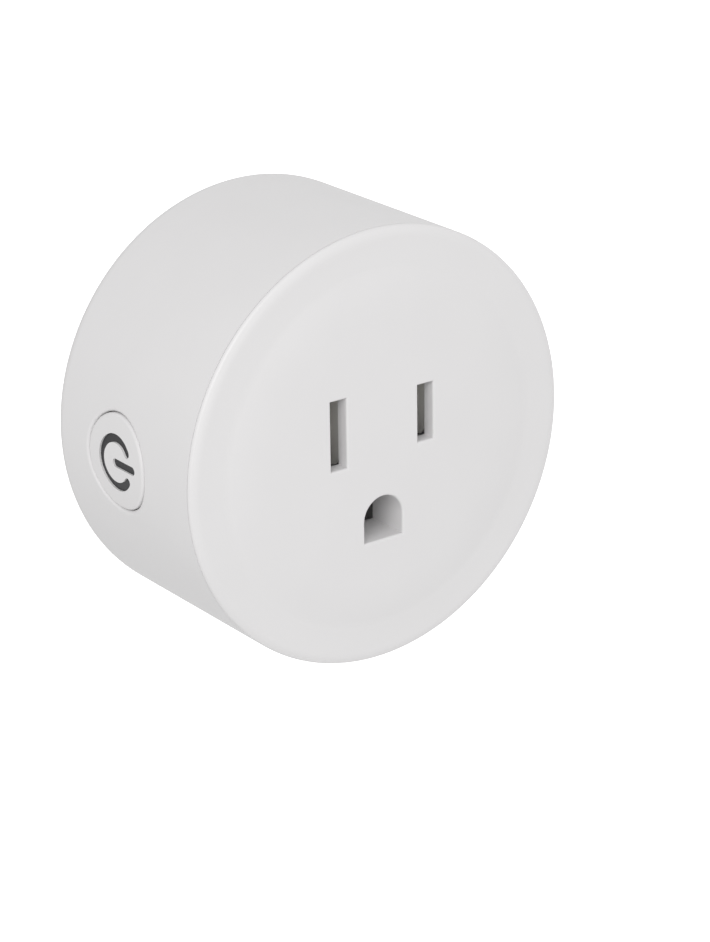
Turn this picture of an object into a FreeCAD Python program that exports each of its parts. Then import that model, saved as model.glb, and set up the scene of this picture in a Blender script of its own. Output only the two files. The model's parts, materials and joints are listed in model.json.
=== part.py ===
"""Round smart plug with a NEMA 5-15 outlet on its front and a NEMA 5-15 plug on its back.

Millimetres. X points right as seen by someone facing the outlet, Y into the wall, Z up.
The origin is the centre of the rear face, which rests on the wall plate. The body is a drum
about the Y axis, its front is at negative Y, and the blades stand out of it towards +Y.
"""
import FreeCAD
import Part
import math
import os

V = FreeCAD.Vector
TWIN_SIDES = (-1, 1)
PAST = 1.0          # how far a cutter runs past the face that it opens
NEAR = 0.1          # how close an edge lies to the place it is picked by

# ---- drum ----
BODY_R = 26.9
WALL = 1.9
INNER_R = BODY_R - WALL
REAR_WALL = 2.2
REAR_EDGE_R = 2.1
REAR_RECESS_R = 20.5
REAR_RECESS_DEPTH = 0.3
INNER_CORNER = 1.0

# ---- front face: raised middle, shallow valley round it, rounded lip at the edge ----
FRONT_Y = -29.7
PLATEAU_R = 17.0
VALLEY_Y = FRONT_Y + 0.46
SLOPE_BEND = 0.85
LIP_R = 1.6
LIP_TILT = math.radians(5.3)
EDGE_R = 0.5
EDGE_TILT = math.radians(35)
FACE_THICKNESS = 1.8
FACE_BACK_Y = FRONT_Y + FACE_THICKNESS
CREASE_Y = FRONT_Y + 1.0
SEAM_CHAMFER = 0.12
SEAM_Y = CREASE_Y + SEAM_CHAMFER

# ---- snap ring between front cover and housing ----
SPIGOT_R = INNER_R - 0.12
SPIGOT_WALL = 1.4
SPIGOT_END_Y = -24.2
SNAP_Y = -25.6
SNAP_HALF = 0.45
SNAP_RISE = 0.35
SNAP_SLOPE = 0.25
SNAP_SLACK = 0.10

# ---- outlet, NEMA 5-15 spacing ----
SLOT_X = 6.35
SLOT_Z = 3.2
SLOT_WIDTH = 2.3
NEUTRAL_SLOT_HEIGHT = 8.65
LINE_SLOT_HEIGHT = 7.15
GROUND_Z = SLOT_Z - 11.9
GROUND_HOLE_R = 2.8
GROUND_FLAT_DROP = 2.65
GROUND_TUNNEL_END_Y = FRONT_Y + 6.0
GROUND_TUNNEL_WALL = 0.9
SLOT_EDGE_R = 0.3

# ---- blades and pin at the back, NEMA 5-15P ----
BLADE_THICKNESS = 1.5
BLADE_WIDTH = 6.35
BLADE_LENGTH = 17.2
BLADE_TIP_CHAMFER = 0.45
BLADE_TIP_CORNER = 1.1
BLADE_HOLE_R = 1.6
BLADE_HOLE_Y = 11.9
BLADE_SHOULDER = 1.0
PIN_R = 2.38
PIN_ROOT_R = 2.6
PIN_LENGTH = 20.6
PIN_TIP_R = 2.0
PIN_FLANGE_R = 3.6
PIN_TAIL_R = 1.2
PIN_TAIL = 1.0
INSERT_GAP = 0.02
TAIL_CLEARANCE = 0.1

# ---- blade retainer ----
SHOULDER_Y = -3.6
RETAINER_Y = -5.2
RETAINER_X = 10.4
RETAINER_Z = (-12.9, 7.9)
RETAINER_SCREWS = ((0.0, SLOT_Z), (-8.2, -7.4), (8.2, -7.4))
TAIL_Z = (SLOT_Z + 1.0, SLOT_Z + 3.0)
TAIL_END_Y = -9.6
RETAINER_SCREW_END_Y = -0.8
BLIND_SPARE = 0.1

# ---- screws and their posts ----
SCREW_R = 0.95
SCREW_HEAD_R = 1.8
SCREW_HEAD = 1.2
SCREW_HEAD_EDGE_R = 0.5
POST_R = 2.2
SCREW_CLEARANCE = 0.15
SCREW_CROSS = (0.45, 2.4, 0.6)

# ---- power board ----
BOARD_BACK_Y = -7.4
BOARD_Y = -9.0
BOARD_R = 23.4
BOARD_FLAT_X = -21.5
BOARD_SCREWS = ((0.0, 21.0), (-14.0, -15.5), (15.5, -14.0))
BOARD_SCREW_END_Y = -4.4
LEAD_END_Y = -6.5
LEAD_CLEARANCE = 0.12
BOARD_GROUND_HOLE = (3.4, GROUND_Z - 3.9, GROUND_Z + 3.4)

# ---- contact carrier ----
CARRIER_X = 10.6
CARRIER_Z = (-13.6, 8.4)
CARRIER_Y = -27.4
CARRIER_FLOOR = 1.2
CARRIER_CORNER_R = 1.5
CARRIER_LUG_R = 2.4
CARRIER_LUG = 2.0
CARRIER_SCREWS = ((-12.9, 6.8), (13.2, -9.5))
POCKET_HALF_X = 2.5
POCKET_SPARE = 0.2
GROUND_POCKET_R = 4.0
CONTACT_CLEARANCE = 0.1

# ---- contacts ----
CONTACT_SHEET = 0.5
CONTACT_HALF_GAP = 0.85
CONTACT_MOUTH_HALF_GAP = 1.75
CONTACT_NECK_Y = -23.6
CONTACT_FRONT_Y = -27.1
CONTACT_RISE = 4.1
CONTACT_DROP = {-1: 5.0, 1: 4.1}
CONTACT_CORNER_R = 1.1
CONTACT_TAIL_Z = (SLOT_Z - 3.2, SLOT_Z - 0.8)
GROUND_CONTACT_R = 2.5
GROUND_CONTACT_Y = (-19.2, -10.6)
GROUND_CONTACT_SLIT = 1.0
STRAP_HALF = 1.5
STRAP_START_Y = -15.0
STRAP_FOOT_HALF = 1.8
STRAP_Z = GROUND_Z - GROUND_CONTACT_R - 2 * CONTACT_SHEET
STRAP_FOOT_TOP_Z = GROUND_Z + 2.0
BUSBAR_HALF = 1.75
BUSBAR_Z = (-0.6, TAIL_Z[1] + 0.6)

# ---- power button, on the -X side ----
BUTTON_Y = -13.6
BUTTON_R = 5.85
BUTTON_GAP = 0.10
BUTTON_EDGE_R = 0.4
COLLAR_R = 7.4
COLLAR_END_X = -23.4
COLLAR_SINK = 0.6
FLANGE_R = 7.2
FLANGE_X = (-23.3, -22.5)
CAP_HOLLOW_R = 4.9
CAP_HOLLOW_X = -25.4
BUTTON_POST_R = 1.6
SYMBOL_MEAN_R = 2.97
SYMBOL_STROKE = 1.06
SYMBOL_OPENING = math.radians(36)
SYMBOL_BAR_BACK = 0.5
SYMBOL_BAR_FRONT = 4.1
SYMBOL_DEPTH = 0.8
SYMBOL_SUNK = 0.25

# ---- button switch ----
SWITCH_BOARD_X = (-16.6, -15.6)
SWITCH_BOARD_Y = -22.0
SWITCH_BOARD_HALF_Z = 7.0
SWITCH_HALF = 3.0
SWITCH_TOP_X = -20.1
SWITCH_COVER = 0.25
SWITCH_COVER_SIDE = 1.6
SWITCH_COVER_FOOT_X = SWITCH_BOARD_X[0] - 0.8
SWITCH_WELL_R = 2.0
SWITCH_WELL_X = -19.0
PLUNGER_R = 1.75
PLUNGER_TIP_X = -21.6
PLUNGER_FOOT_X = -19.45
PLUNGER_GAP = 0.03
PLUNGER_EDGE_R = 0.3
PLUNGER_SIDE_GAP = 0.06
SWITCH_PINS = 4
SWITCH_PIN_PITCH = 3.0
SWITCH_PIN_RISE = 2.0
HEADER_PIN = 0.6
LED_Y = BUTTON_Y - 5.0
LED_SIZE = (0.8, 1.6, 1.2)

# ---- relay, standing on the board above the contact carrier ----
RELAY_X = (-10.2, 10.2)
RELAY_Z = (9.8, 17.0)
RELAY_HEIGHT = 15.2
RELAY_WALL = 0.6
RELAY_BASE = 1.7
RELAY_EDGE_R = 0.5
COIL_X = -3.4
COIL_WINDING_R = 2.75
COIL_FLANGE = 2.9
COIL_FLANGE_THICKNESS = 0.8
COIL_PIN_X = COIL_X + 2.4
COIL_PIN_HALF_Z = 2.2
COIL_PIN_RISE = 0.8
BARREL_WALL = 0.5
CORE_R = 1.4
CORE_HEAD_R = 2.1
CORE_HEAD = 0.3
CORE_TOP_Y = -21.6
YOKE_THICKNESS = 1.0
YOKE_X = -8.1
YOKE_HALF = 2.5
YOKE_FOOT_END_X = COIL_X + 1.8
HINGE_X = -7.6
ARMATURE_THICKNESS = 0.7
ARMATURE_GAP = 0.06
ARMATURE_TILT = 3.5
ARMATURE_X = (YOKE_X + 0.2, COIL_X + 2.6)
LEAF_THICKNESS = 0.25
LEAF_HALF = 1.6
LEAF_START_X = COIL_X - 2.0
CONTACT_X = 6.2
CONTACT_BUTTON_R = 1.2
CONTACT_BUTTON = 0.6
CONTACT_REST = 0.03
SHELF_HALF_X = 1.3
SHELF_HALF_Z = 2.0
SHELF_FOOT_X = CONTACT_X - 0.3
RELAY_PIN = 0.6

# ---- supply parts on the board: centre (x, z), radius, height ----
BULK_CAPACITOR = (17.2, 4.6, 4.0, 12.0)
OUTPUT_CAPACITOR = (16.8, -4.2, 3.15, 7.5)
INDUCTOR = (14.9, 12.9, 3.0, 8.0)
LEAD_R = 0.3
CAN_EDGE_R = 0.4
CRIMP = (0.35, 0.6, 1.6)
BOBBIN_END = 1.2
BOBBIN_NECK = 1.6
WINDING_SINK = 0.3
VARISTOR_X = -14.6
VARISTOR_Z = (10.2, 13.8)
VARISTOR_R = 3.7
VARISTOR_Y = -13.6
VARISTOR_EDGE_R = 1.2
VARISTOR_LEAD_SPREAD = 2.5
RESISTOR_X = (4.3, 9.2)
RESISTOR_Z = 19.3
RESISTOR_R = 1.5
RESISTOR_Y = -10.9
RESISTOR_EDGE_R = 0.5
RESISTOR_LEAD_REACH = 1.4
RESISTOR_LEAD_SINK = 0.3
RECTIFIER = (-9.4, -3.4, 17.7, 20.7, 2.4)
REGULATOR = (-15.9, -11.2, -12.0, -8.0, 1.6)
CHIP_LEGS = 4
CHIP_LEG_HALF = 0.22
CHIP_LEG = 0.2
CHIP_LEG_REACH = 0.7
CHIP_LEG_SINK = 0.1
CHIP_STANDOFF = 0.15

# ---- radio module, standing on the board below the contact carrier ----
RADIO_X = 8.0
RADIO_Z = (-16.2, -15.4)
RADIO_Y = -24.0
SHIELD_X = 6.0
SHIELD_Y = (-21.0, -11.0)
SHIELD_DEPTH = 2.3
SHIELD_WALL = 0.2
SHIELD_EDGE_R = 0.4
RADIO_CHIP_HALF = 2.5
RADIO_CHIP = 0.9
RADIO_PINS = 6
RADIO_PIN_PITCH = 2.0
RADIO_PIN_RISE = 1.4


# ---- shared shapes ----

def box(x, y, z):
    """Box from (low, high) pairs."""
    return Part.makeBox(x[1] - x[0], y[1] - y[0], z[1] - z[0], V(x[0], y[0], z[0]))


def rod_y(radius, x, z, y0, y1):
    return Part.makeCylinder(radius, y1 - y0, V(x, y0, z), V(0, 1, 0))


def rod_x(radius, y, z, x0, x1):
    return Part.makeCylinder(radius, x1 - x0, V(x0, y, z), V(1, 0, 0))


def rod_z(radius, x, y, z0, z1):
    return Part.makeCylinder(radius, z1 - z0, V(x, y, z0))


def around(middle, half):
    return (middle - half, middle + half)


def joined(shapes):
    whole = shapes[0]
    for shape in shapes[1:]:
        whole = whole.fuse(shape)
    return whole.removeSplitter()


def without(shape, cutters):
    for cutter in cutters:
        shape = shape.cut(cutter)
    return shape


def outline_edges(points):
    """Straight edges through a closed list of points."""
    loop = points + points[:1]
    return [Part.LineSegment(a, b).toShape() for a, b in zip(loop, loop[1:])]


def prism(points, direction):
    wire = Part.Wire(outline_edges(points))
    return Part.Face(wire).extrude(direction)


def arc(start, middle, end):
    return Part.Arc(start, middle, end).toShape()


def line(start, end):
    return Part.LineSegment(start, end).toShape()


def turned(edges):
    """Solid of revolution about Y from edges drawn in the XY plane."""
    face = Part.Face(Part.Wire(Part.__sortEdges__(edges)))
    return face.revolve(V(0, 0, 0), V(0, 1, 0), 360)


def chain(points):
    return [line(a, b) for a, b in zip(points, points[1:])]


def rounded(shape, radius, chosen):
    """Fillets every edge whose middle point passes the test."""
    edges = []
    for edge in shape.Edges:
        middle = edge.valueAt((edge.FirstParameter + edge.LastParameter) / 2)
        if edge.Length > radius and chosen(middle):
            edges.append(edge)
    return shape.makeFillet(radius, edges)


def axis_distance(point):
    return math.hypot(point.x, point.z)


# ---- front cover ----

def level_arc(level, other):
    """Arc that leaves the point level along the radius and ends at the point other."""
    run = other.x - level.x
    rise = other.y - level.y
    radius = (run ** 2 + rise ** 2) / (2 * abs(rise))
    half_turn = math.atan2(abs(rise), abs(run))
    middle = level + V(math.copysign(radius * math.sin(half_turn), run),
                       math.copysign(radius * (1 - math.cos(half_turn)), rise), 0)
    return arc(level, middle, other)


def tilted(angle):
    """Direction that leans outwards from straight ahead by the angle."""
    return V(math.sin(angle), -math.cos(angle), 0)


def face_profile():
    """Outer edge of the front cover's section, from the axis to the seam, smooth all the way."""
    plateau_end = V(PLATEAU_R, FRONT_Y, 0)
    edge_centre = V(BODY_R - EDGE_R, CREASE_Y, 0)
    lip_end = edge_centre + EDGE_R * tilted(EDGE_TILT)
    lip_centre = lip_end - LIP_R * tilted(EDGE_TILT)
    lip_start = lip_centre + LIP_R * tilted(-LIP_TILT)
    lip_middle = lip_centre + LIP_R * tilted((EDGE_TILT - LIP_TILT) / 2)
    edge_middle = edge_centre + EDGE_R * tilted((EDGE_TILT + math.pi / 2) / 2)
    valley_rise = VALLEY_Y - lip_start.y
    valley = V(lip_start.x - valley_rise / math.tan(LIP_TILT / 2), VALLEY_Y, 0)
    bend = plateau_end + (valley - plateau_end) * SLOPE_BEND
    return [line(V(0, FRONT_Y, 0), plateau_end), level_arc(plateau_end, bend), level_arc(valley, bend),
            level_arc(valley, lip_start), arc(lip_start, lip_middle, lip_end),
            arc(lip_end, edge_middle, V(BODY_R, CREASE_Y, 0))]


def snap_ring(base_r, slack):
    """Section of the snap bead, or of its groove when slack is given."""
    half = SNAP_HALF + slack
    crest = base_r + SNAP_RISE
    return [V(base_r, SNAP_Y - half, 0), V(crest, SNAP_Y - half + SNAP_SLOPE, 0),
            V(crest, SNAP_Y + half - SNAP_SLOPE, 0), V(base_r, SNAP_Y + half, 0)]


def ground_outline(grow, y):
    """Round-topped outline of the ground opening, made larger all round by grow."""
    radius = GROUND_HOLE_R + grow
    floor = GROUND_Z - GROUND_FLAT_DROP - grow
    left = V(-radius, y, GROUND_Z)
    right = V(radius, y, GROUND_Z)
    return [arc(left, V(0, y, GROUND_Z + radius), right), line(right, V(radius, y, floor)),
            line(V(radius, y, floor), V(-radius, y, floor)), line(V(-radius, y, floor), left)]


def ground_prism(grow, y0, y1):
    wire = Part.Wire(ground_outline(grow, y0))
    return Part.Face(wire).extrude(V(0, y1 - y0, 0))


def slot_prism(side, height, y0, y1):
    return box(around(side * SLOT_X, SLOT_WIDTH / 2), (y0, y1), around(SLOT_Z, height / 2))


def front_cover():
    spigot_inner = SPIGOT_R - SPIGOT_WALL
    inside = [V(BODY_R, CREASE_Y, 0), V(BODY_R - SEAM_CHAMFER, SEAM_Y, 0), V(SPIGOT_R, SEAM_Y, 0)]
    inside += snap_ring(SPIGOT_R, 0)
    inside += [V(SPIGOT_R, SPIGOT_END_Y, 0), V(spigot_inner, SPIGOT_END_Y, 0)]
    inside += [V(spigot_inner, FACE_BACK_Y, 0), V(0, FACE_BACK_Y, 0), V(0, FRONT_Y, 0)]
    disc = turned(face_profile() + chain(inside))
    tunnel = ground_prism(GROUND_TUNNEL_WALL, FACE_BACK_Y, GROUND_TUNNEL_END_Y)
    ahead = FRONT_Y - PAST
    cover = joined([disc, tunnel])
    cover = without(cover, [
        slot_prism(-1, NEUTRAL_SLOT_HEIGHT, ahead, FACE_BACK_Y + PAST),
        slot_prism(1, LINE_SLOT_HEIGHT, ahead, FACE_BACK_Y + PAST),
        ground_prism(0, ahead, GROUND_TUNNEL_END_Y + PAST)])
    return rounded(cover, SLOT_EDGE_R, lambda p: (
        abs(p.y - FRONT_Y) < SLOT_EDGE_R / 2 and NEAR < axis_distance(p) < PLATEAU_R - NEAR))


# ---- housing ----

def housing_shell():
    rear_corner = BODY_R - REAR_EDGE_R
    diagonal = REAR_EDGE_R * math.sqrt(0.5)
    outside = [line(V(BODY_R, SEAM_Y, 0), V(BODY_R, -REAR_EDGE_R, 0))]
    edge = arc(V(BODY_R, -REAR_EDGE_R, 0),
               V(rear_corner + diagonal, -REAR_EDGE_R + diagonal, 0), V(rear_corner, 0, 0))
    recess = chain([V(rear_corner, 0, 0), V(REAR_RECESS_R + REAR_RECESS_DEPTH, 0, 0),
                    V(REAR_RECESS_R, -REAR_RECESS_DEPTH, 0), V(0, -REAR_RECESS_DEPTH, 0),
                    V(0, -REAR_WALL, 0), V(INNER_R - INNER_CORNER, -REAR_WALL, 0),
                    V(INNER_R, -REAR_WALL - INNER_CORNER, 0)])
    groove = list(reversed(snap_ring(INNER_R, SNAP_SLACK)))
    bore = chain([V(INNER_R, -REAR_WALL - INNER_CORNER, 0)] + groove
                 + [V(INNER_R, SEAM_Y, 0), V(BODY_R, SEAM_Y, 0)])
    return turned(outside + [edge] + recess + bore)


def housing():
    posts = [rod_y(POST_R, x, z, BOARD_BACK_Y, -REAR_WALL) for x, z in BOARD_SCREWS + CARRIER_SCREWS]
    bosses = [rod_y(POST_R, x, z, SHOULDER_Y, -REAR_WALL) for x, z in RETAINER_SCREWS]
    collar_end = -math.sqrt(INNER_R ** 2 - COLLAR_R ** 2) - COLLAR_SINK
    collar = rod_x(COLLAR_R, BUTTON_Y, 0, collar_end, COLLAR_END_X)
    shell = joined([housing_shell(), collar] + posts + bosses)
    hole_r = BUTTON_R + BUTTON_GAP
    shell = shell.cut(rod_x(hole_r, BUTTON_Y, 0, -BODY_R - PAST, COLLAR_END_X + PAST))
    shell = rounded(shell, BUTTON_EDGE_R, lambda p: (
        abs(axis_distance(p) - BODY_R) < NEAR and math.hypot(p.y - BUTTON_Y, p.z) < hole_r + NEAR))
    tight = SCREW_R + INSERT_GAP
    cutters = [rod_y(tight, x, z, BOARD_BACK_Y - PAST, BOARD_SCREW_END_Y + BLIND_SPARE)
               for x, z in BOARD_SCREWS + CARRIER_SCREWS]
    cutters += [rod_y(tight, x, z, SHOULDER_Y - PAST, RETAINER_SCREW_END_Y + BLIND_SPARE)
                for x, z in RETAINER_SCREWS]
    blade = (BLADE_THICKNESS / 2 + INSERT_GAP, BLADE_WIDTH / 2 + INSERT_GAP)
    for side in TWIN_SIDES:
        cutters.append(box(around(side * SLOT_X, blade[0]), (-REAR_WALL - PAST, PAST),
                           around(SLOT_Z, blade[1])))
    cutters.append(rod_y(PIN_ROOT_R + INSERT_GAP, 0, GROUND_Z, -REAR_WALL - PAST, PAST))
    return without(shell, cutters)


# ---- blades, pin and the plate that holds them ----

def blade(side):
    x = side * SLOT_X
    half_x = BLADE_THICKNESS / 2
    half_z = BLADE_WIDTH / 2
    corner = BLADE_TIP_CORNER
    tip = BLADE_LENGTH
    outline = [V(x - half_x, -REAR_WALL, SLOT_Z - half_z), V(x - half_x, tip - corner, SLOT_Z - half_z),
               V(x - half_x, tip, SLOT_Z - half_z + corner), V(x - half_x, tip, SLOT_Z + half_z - corner),
               V(x - half_x, tip - corner, SLOT_Z + half_z), V(x - half_x, -REAR_WALL, SLOT_Z + half_z)]
    tongue = prism(outline, V(BLADE_THICKNESS, 0, 0))
    tongue = tongue.makeChamfer(BLADE_TIP_CHAMFER, [
        e for e in tongue.Edges if e.CenterOfMass.y > tip - corner and abs(e.CenterOfMass.x - x) > NEAR])
    tongue = tongue.cut(rod_x(BLADE_HOLE_R, BLADE_HOLE_Y, SLOT_Z, *around(x, BLADE_THICKNESS)))
    shoulder = box(around(x, half_x), (SHOULDER_Y, -REAR_WALL), around(SLOT_Z, half_z + BLADE_SHOULDER))
    tail = box(around(x, half_x), (TAIL_END_Y, SHOULDER_Y), TAIL_Z)
    return joined([tongue, shoulder, tail])


def ground_pin():
    shaft = rod_y(PIN_R, 0, GROUND_Z, -REAR_RECESS_DEPTH, PIN_LENGTH)
    shaft = shaft.makeFillet(PIN_TIP_R, [e for e in shaft.Edges if e.CenterOfMass.y > PIN_LENGTH - NEAR])
    root = rod_y(PIN_ROOT_R, 0, GROUND_Z, -REAR_WALL, -REAR_RECESS_DEPTH)
    flange = rod_y(PIN_FLANGE_R, 0, GROUND_Z, SHOULDER_Y, -REAR_WALL)
    tail = rod_y(PIN_TAIL_R, 0, GROUND_Z, SHOULDER_Y - PIN_TAIL, SHOULDER_Y)
    return joined([shaft, root, flange, tail])


def tail_opening(side, side_gap, depth):
    """Opening that a blade's tail passes through."""
    return box(around(side * SLOT_X, BLADE_THICKNESS / 2 + side_gap), depth,
               (TAIL_Z[0] - TAIL_CLEARANCE, TAIL_Z[1] + TAIL_CLEARANCE))


def blade_retainer():
    plate = box((-RETAINER_X, RETAINER_X), (RETAINER_Y, -REAR_WALL), RETAINER_Z)
    half_x = BLADE_THICKNESS / 2 + INSERT_GAP
    shoulder_z = BLADE_WIDTH / 2 + BLADE_SHOULDER + INSERT_GAP
    cutters = []
    for side in TWIN_SIDES:
        x = side * SLOT_X
        cutters.append(box(around(x, half_x), (SHOULDER_Y, 0), around(SLOT_Z, shoulder_z)))
        cutters.append(tail_opening(side, INSERT_GAP, (RETAINER_Y - PAST, 0)))
    cutters.append(rod_y(PIN_FLANGE_R + INSERT_GAP, 0, GROUND_Z, SHOULDER_Y, 0))
    cutters.append(box(around(0, STRAP_FOOT_HALF + TAIL_CLEARANCE), (RETAINER_Y - PAST, 0),
                       (STRAP_Z - TAIL_CLEARANCE, STRAP_FOOT_TOP_Z + TAIL_CLEARANCE)))
    for x, z in RETAINER_SCREWS:
        cutters.append(rod_y(POST_R + INSERT_GAP, x, z, SHOULDER_Y, 0))
        cutters.append(rod_y(SCREW_R + SCREW_CLEARANCE, x, z, RETAINER_Y - PAST, 0))
    return without(plate, cutters)


def screws(places, seat_y, end_y):
    """Cross-recessed pan-head screws driven towards +Y, one solid each."""
    width, length, depth = SCREW_CROSS
    head_y = seat_y - SCREW_HEAD
    solids = []
    for x, z in places:
        head = rod_y(SCREW_HEAD_R, x, z, head_y, seat_y)
        rim = [e for e in head.Edges if e.CenterOfMass.y < head_y + NEAR]
        head = head.makeFillet(SCREW_HEAD_EDGE_R, rim)
        screw = joined([head, rod_y(SCREW_R, x, z, seat_y, end_y)])
        floor = (head_y - PAST, head_y + depth)
        for half in ((length / 2, width / 2), (width / 2, length / 2)):
            screw = screw.cut(box(around(x, half[0]), floor, around(z, half[1])))
        solids.append(screw)
    return Part.makeCompound(solids)


# ---- contacts, carrier and links ----

def blade_contact(side):
    """Folded strip: two leaves that grip a blade, a web between them and a tail to the board."""
    centre = side * SLOT_X
    web_y = BOARD_Y - CARRIER_FLOOR - CONTACT_CLEARANCE
    low = SLOT_Z - CONTACT_DROP[side]
    high = SLOT_Z + CONTACT_RISE
    leaves = []
    for leaf in TWIN_SIDES:
        inner = CONTACT_HALF_GAP
        outer = inner + CONTACT_SHEET
        mouth = CONTACT_MOUTH_HALF_GAP
        section = [(inner, web_y), (outer, web_y), (outer, CONTACT_NECK_Y),
                   (mouth + CONTACT_SHEET, CONTACT_FRONT_Y), (mouth, CONTACT_FRONT_Y),
                   (inner, CONTACT_NECK_Y)]
        solid = prism([V(centre + leaf * a, y, low) for a, y in section], V(0, 0, high - low))
        front = [e for e in solid.Edges if e.CenterOfMass.y < CONTACT_FRONT_Y + NEAR
                 and not low + NEAR < e.CenterOfMass.z < high - NEAR]
        leaves.append(solid.makeFillet(CONTACT_CORNER_R, front))
    half_web = CONTACT_HALF_GAP + CONTACT_SHEET
    web = box(around(centre, half_web), (web_y - CONTACT_SHEET, web_y), (low, high))
    return joined(leaves + [web, contact_tail(centre, web_y, 0)])


def contact_tail(centre, web_y, grow):
    inner = centre + CONTACT_HALF_GAP
    return box((inner - grow, inner + CONTACT_SHEET + grow), (web_y - CONTACT_SHEET / 2, LEAD_END_Y),
               (CONTACT_TAIL_Z[0] - grow, CONTACT_TAIL_Z[1] + grow))


def ground_contact():
    start, end = GROUND_CONTACT_Y
    tube = rod_y(GROUND_CONTACT_R + CONTACT_SHEET, 0, GROUND_Z, start, end)
    bore = rod_y(GROUND_CONTACT_R, 0, GROUND_Z, start - PAST, end + PAST)
    slit = box(around(0, GROUND_CONTACT_SLIT / 2), (start - PAST, end + PAST),
               (GROUND_Z, GROUND_Z + 2 * GROUND_CONTACT_R))
    return without(tube, [bore, slit])


def ground_strap():
    """Strip from the ground contact's underside to the rivet end of the ground pin."""
    leg = box(around(0, STRAP_HALF), (STRAP_START_Y, SHOULDER_Y), (STRAP_Z, STRAP_Z + CONTACT_SHEET))
    foot = box(around(0, STRAP_FOOT_HALF), (SHOULDER_Y - CONTACT_SHEET, SHOULDER_Y),
               (STRAP_Z, STRAP_FOOT_TOP_Z))
    hole = rod_y(PIN_TAIL_R + INSERT_GAP, 0, GROUND_Z, SHOULDER_Y - PAST, SHOULDER_Y + PAST)
    return joined([leg, foot]).cut(hole)


def neutral_busbar():
    x = -SLOT_X
    bar = box(around(x, BUSBAR_HALF), (BOARD_BACK_Y, BOARD_BACK_Y + CONTACT_SHEET), BUSBAR_Z)
    tail = box(around(x, BLADE_THICKNESS / 2 + INSERT_GAP), (TAIL_END_Y, 0),
               (TAIL_Z[0] - INSERT_GAP, TAIL_Z[1] + INSERT_GAP))
    return without(bar, [tail, contact_tail(x, BOARD_Y, INSERT_GAP)])


def contact_carrier():
    floor_y = BOARD_Y - CARRIER_FLOOR
    middle_y = (CARRIER_Y + BOARD_Y) / 2
    block = box((-CARRIER_X, CARRIER_X), (CARRIER_Y, BOARD_Y), CARRIER_Z)
    long_edges = [e for e in block.Edges if abs(e.CenterOfMass.y - middle_y) < NEAR]
    block = block.makeFillet(CARRIER_CORNER_R, long_edges)
    lugs = []
    for x, z in CARRIER_SCREWS:
        depth = (BOARD_Y - CARRIER_LUG, BOARD_Y)
        lugs.append(rod_y(CARRIER_LUG_R, x, z, *depth))
        lugs.append(box(sorted((x, math.copysign(CARRIER_X - PAST, x))), depth, around(z, CARRIER_LUG_R)))
    body = joined([block] + lugs)
    mouth = (CARRIER_Y - PAST, GROUND_CONTACT_Y[0] - CONTACT_CLEARANCE)
    cutters = [ground_prism(GROUND_POCKET_R - GROUND_HOLE_R, *mouth),
               rod_y(GROUND_CONTACT_R + CONTACT_SHEET + CONTACT_CLEARANCE / 2, 0, GROUND_Z, mouth[1], 0),
               box(around(0, STRAP_HALF + CONTACT_CLEARANCE), (STRAP_START_Y - CONTACT_CLEARANCE, 0),
                   (STRAP_Z - CONTACT_CLEARANCE, GROUND_Z))]
    for side in TWIN_SIDES:
        x = side * SLOT_X
        low = SLOT_Z - CONTACT_DROP[side] - POCKET_SPARE
        high = SLOT_Z + CONTACT_RISE + POCKET_SPARE
        cutters.append(box(around(x, POCKET_HALF_X), (CARRIER_Y - PAST, floor_y), (low, high)))
        cutters.append(tail_opening(side, TAIL_CLEARANCE, (floor_y - PAST, 0)))
        cutters.append(contact_tail(x, floor_y, CONTACT_CLEARANCE))
    for x, z in CARRIER_SCREWS:
        cutters.append(rod_y(SCREW_R + SCREW_CLEARANCE, x, z, BOARD_Y - CARRIER_LUG - PAST, 0))
    return without(body, cutters)


# ---- power board and the leads that pass through it ----

def square_pins(places, half, y0, y1):
    return [box(around(x, half), (y0, y1), around(z, half)) for x, z in places]


def relay_pin_places():
    coil_z = (RELAY_Z[0] + RELAY_Z[1]) / 2
    return {"coil": [(COIL_PIN_X, z) for z in around(coil_z, COIL_PIN_HALF_Z)],
            "yoke": [(YOKE_X + YOKE_THICKNESS / 2, coil_z)], "fixed": [(CONTACT_X, coil_z)]}


def switch_pin_places():
    x = (SWITCH_BOARD_X[0] + SWITCH_BOARD_X[1]) / 2
    return [(x, (i - (SWITCH_PINS - 1) / 2) * SWITCH_PIN_PITCH) for i in range(SWITCH_PINS)]


def radio_pin_places():
    z = (RADIO_Z[0] + RADIO_Z[1]) / 2
    first = -(RADIO_PINS - 1) / 2 * RADIO_PIN_PITCH
    return [(first + i * RADIO_PIN_PITCH, z) for i in range(RADIO_PINS)]


def lead_places(part):
    x, z, radius = part[0], part[1], part[2]
    return [(x, z - radius / 2), (x, z + radius / 2)]


def varistor_lead_places():
    z = (VARISTOR_Z[0] + VARISTOR_Z[1]) / 2
    return [(x, z) for x in around(VARISTOR_X, VARISTOR_LEAD_SPREAD)]


def resistor_lead_places():
    return [(RESISTOR_X[0] - RESISTOR_LEAD_REACH, RESISTOR_Z),
            (RESISTOR_X[1] + RESISTOR_LEAD_REACH, RESISTOR_Z)]


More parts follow.
